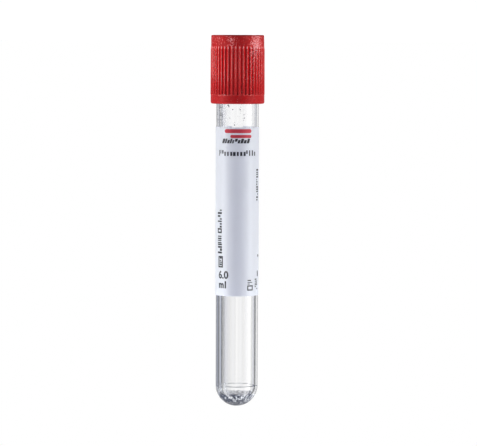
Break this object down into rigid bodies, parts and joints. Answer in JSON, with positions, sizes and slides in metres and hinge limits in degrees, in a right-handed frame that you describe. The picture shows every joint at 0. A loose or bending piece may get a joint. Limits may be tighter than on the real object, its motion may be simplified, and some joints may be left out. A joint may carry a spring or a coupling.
{
  "type": "blood collection tube",
  "caption": "Round-ended clear collection tube standing upside down on its fluted red pull-off cap, with a wrap-around label and a rubber stopper.",
  "frame": {"origin": "centre of the bounding box's base: the middle of the flat ring on the cap, on which the tube stands upside down", "axes": "+Z along the tube's axis, from the cap towards the round end; -Y out of the printed front"},
  "size_m": [0.0166, 0.0166, 0.114],
  "materials": {
    "clear_plastic": "clear, polished",
    "label_film": "satin white film",
    "dried_film": "dull, mottled",
    "rubber": "matt grey",
    "cap_plastic": "satin red"
  },
  "bodies": {
    "closure": {"cap": "cap_plastic", "stopper": "rubber"},
    "tube": {"tube": "clear_plastic", "label": "label_film", "clot_activator": "dried_film"}
  },
  "joints": [
    {"name": "closure_pull", "type": "slide", "parent": "closure", "child": "tube", "axis": [0, 0, 1], "range_m": [0, 0.02]}
  ]
}
